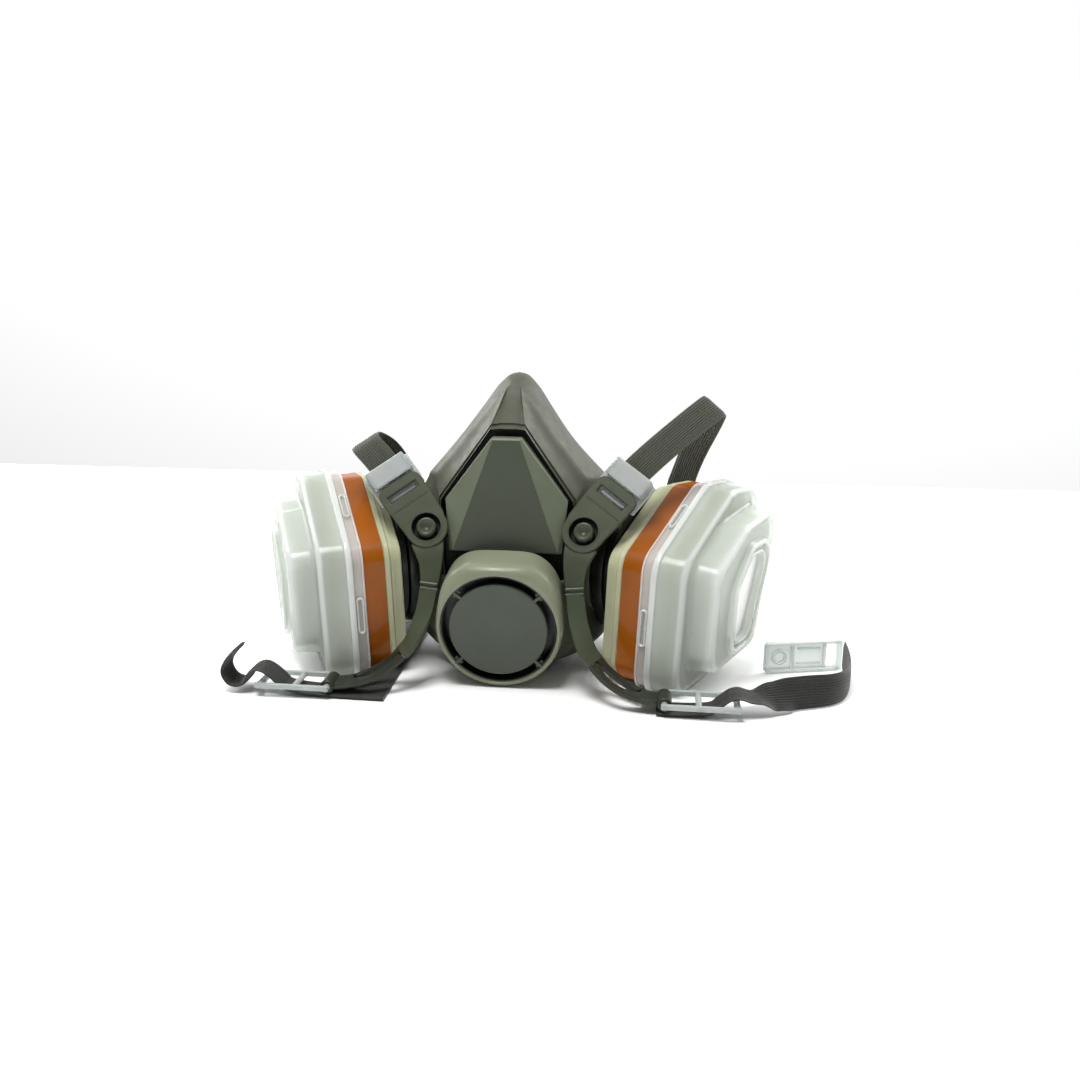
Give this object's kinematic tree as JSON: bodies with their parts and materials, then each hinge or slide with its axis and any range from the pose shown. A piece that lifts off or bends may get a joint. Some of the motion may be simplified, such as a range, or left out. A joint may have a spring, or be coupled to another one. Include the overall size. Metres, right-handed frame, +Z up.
{
  "type": "half-mask respirator",
  "caption": "Half-facepiece respirator with twin bayonet cartridges, translucent filter retainers, an exhalation valve and an elastic head harness.",
  "frame": {"origin": "on the ground plane, midway between the sides and between the front and back of the mask, its cartridges and its buckles, without the loose straps", "axes": "+X to the right as seen from the front, from one cartridge to the other; +Y from the front to the face side; +Z up"},
  "size_m": [0.2469, 0.1644, 0.1194],
  "materials": {
    "seal": "matte",
    "panel": "fine satin",
    "seat": "satin",
    "flap": "satin",
    "cover": "satin",
    "yoke": "satin",
    "cradle": "satin",
    "buckle": "translucent",
    "stud": "satin",
    "port": "satin black",
    "gasket": "satin",
    "base": "satin cream",
    "body": "satin cream",
    "label": "glossy printed film",
    "carbon": "granular",
    "grille": "satin",
    "media": "matte felt",
    "retainer": "frosted translucent",
    "webbing": "ribbed elastic"
  },
  "bodies": {
    "mask": {"face_seal": "seal", "centre_adapter": "panel", "exhalation_seat": "seat", "harness_yoke": "yoke", "head_cradle": "cradle", "harness_stud_right": "stud", "harness_stud_left": "stud", "inhalation_port_right": "port", "inhalation_port_left": "port", "port_gasket_right": "gasket", "port_gasket_left": "gasket", "upper_strap_right": "webbing", "upper_strap_left": "webbing", "neck_strap_right": "webbing", "neck_strap_left": "webbing"},
    "outlet_cover": {"exhalation_cover": "cover"},
    "outlet_flap": {"exhalation_flap": "flap"},
    "hook_clasp": {"clasp_hook": "buckle"},
    "loop_clasp": {"clasp_loop": "buckle"},
    "cartridge_right": {"cartridge_base_right": "base", "cartridge_body_right": "body", "cartridge_label_right": "label", "carbon_bed_right": "carbon", "cartridge_grille_right": "grille"},
    "retainer_right": {"filter_retainer_right": "retainer", "particulate_filter_right": "media"},
    "inlet_flap_right": {"inhalation_flap_right": "flap"},
    "strap_buckle_right": {"upper_buckle_right": "buckle"},
    "neck_buckle_right": {"lower_buckle_right": "buckle"},
    "cartridge_left": {"cartridge_base_left": "base", "cartridge_body_left": "body", "cartridge_label_left": "label", "carbon_bed_left": "carbon", "cartridge_grille_left": "grille"},
    "retainer_left": {"filter_retainer_left": "retainer", "particulate_filter_left": "media"},
    "inlet_flap_left": {"inhalation_flap_left": "flap"},
    "strap_buckle_left": {"upper_buckle_left": "buckle"},
    "neck_buckle_left": {"lower_buckle_left": "buckle"}
  },
  "joints": [
    {"name": "cover_snap", "type": "slide", "parent": "mask", "child": "outlet_cover", "axis": [0, -0.9885, -0.1513], "range_m": [0, 0.025]},
    {"name": "outlet_flap_lift", "type": "slide", "parent": "mask", "child": "outlet_flap", "axis": [0, -0.9885, -0.1513], "range_m": [0, 0.0025], "stiffness_N_per_m": 30},
    {"name": "cartridge_twist_right", "type": "hinge", "parent": "mask", "child": "cartridge_right", "pos_m": [0.0541, 0.01425, 0.042], "axis": [0.9127, -0.4063, -0.0436], "range_deg": [0, 30]},
    {"name": "retainer_pull_right", "type": "slide", "parent": "cartridge_right", "child": "retainer_right", "axis": [0.9127, -0.4063, -0.0436], "range_m": [0, 0.0035]},
    {"name": "inlet_flap_lift_right", "type": "slide", "parent": "mask", "child": "inlet_flap_right", "axis": [-0.9127, 0.4063, 0.0436], "range_m": [0, 0.0015], "stiffness_N_per_m": 30},
    {"name": "strap_buckle_swing_right", "type": "hinge", "parent": "mask", "child": "strap_buckle_right", "pos_m": [0.0418, -0.00685, 0.0735], "axis": [0.7799, -0.3623, -0.5104], "range_deg": [-5, 5], "deforming": ["upper_strap_right"]},
    {"name": "neck_buckle_lift_right", "type": "hinge", "parent": "mask", "child": "neck_buckle_right", "pos_m": [0.0644, -0.04135, 0.0044], "axis": [0, -1, 0], "range_deg": [0, 20], "deforming": ["neck_strap_right"]},
    {"name": "cartridge_twist_left", "type": "hinge", "parent": "mask", "child": "cartridge_left", "pos_m": [-0.0541, 0.01425, 0.042], "axis": [0.9127, 0.4063, 0.0436], "range_deg": [0, 30]},
    {"name": "retainer_pull_left", "type": "slide", "parent": "cartridge_left", "child": "retainer_left", "axis": [-0.9127, -0.4063, -0.0436], "range_m": [0, 0.0035]},
    {"name": "inlet_flap_lift_left", "type": "slide", "parent": "mask", "child": "inlet_flap_left", "axis": [0.9127, 0.4063, 0.0436], "range_m": [0, 0.0015], "stiffness_N_per_m": 30},
    {"name": "strap_buckle_swing_left", "type": "hinge", "parent": "mask", "child": "strap_buckle_left", "pos_m": [-0.0418, -0.00685, 0.0735], "axis": [-0.7799, -0.3623, -0.5104], "range_deg": [-5, 5], "deforming": ["upper_strap_left"]},
    {"name": "neck_buckle_lift_left", "type": "hinge", "parent": "mask", "child": "neck_buckle_left", "pos_m": [-0.0644, -0.04135, 0.0044], "axis": [0, 1, 0], "range_deg": [0, 20], "deforming": ["neck_strap_left"]},
    {"name": "hook_clasp_swing", "type": "hinge", "parent": "mask", "child": "hook_clasp", "pos_m": [0.1366, 0.01245, 0.0069], "axis": [0, 0, 1], "range_deg": [0, 40]},
    {"name": "loop_clasp_lift", "type": "hinge", "parent": "mask", "child": "loop_clasp", "pos_m": [-0.0484, 0.04845, 0.0017], "axis": [1, 0, 0], "range_deg": [0, 40]}
  ]
}
